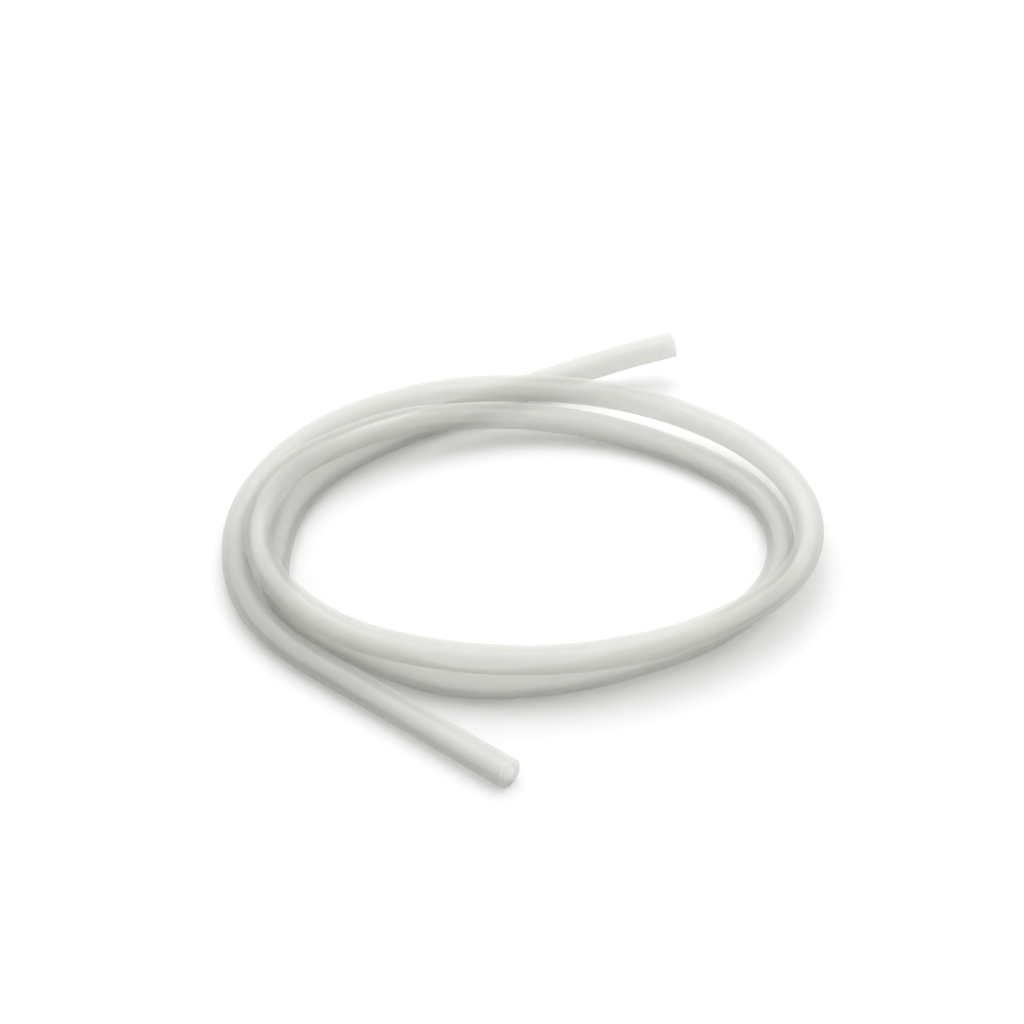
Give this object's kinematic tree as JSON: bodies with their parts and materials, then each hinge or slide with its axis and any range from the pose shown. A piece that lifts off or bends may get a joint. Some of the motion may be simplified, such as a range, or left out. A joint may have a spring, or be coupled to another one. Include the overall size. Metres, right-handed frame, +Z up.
{
  "type": "silicone tubing coil",
  "caption": "Length of soft translucent silicone tubing, wound loosely into a low coil, with both cut ends free and open.",
  "frame": {"origin": "on the table, under the middle of the box round the whole tube", "axes": "+Z up from the table, -Y towards the straight front end, +X to the right of it"},
  "size_m": [0.1354, 0.1664, 0.0132],
  "materials": {
    "tubing": "satin, milky and translucent"
  },
  "bodies": {
    "root": {"tubing": "tubing"}
  },
  "joints": []
}
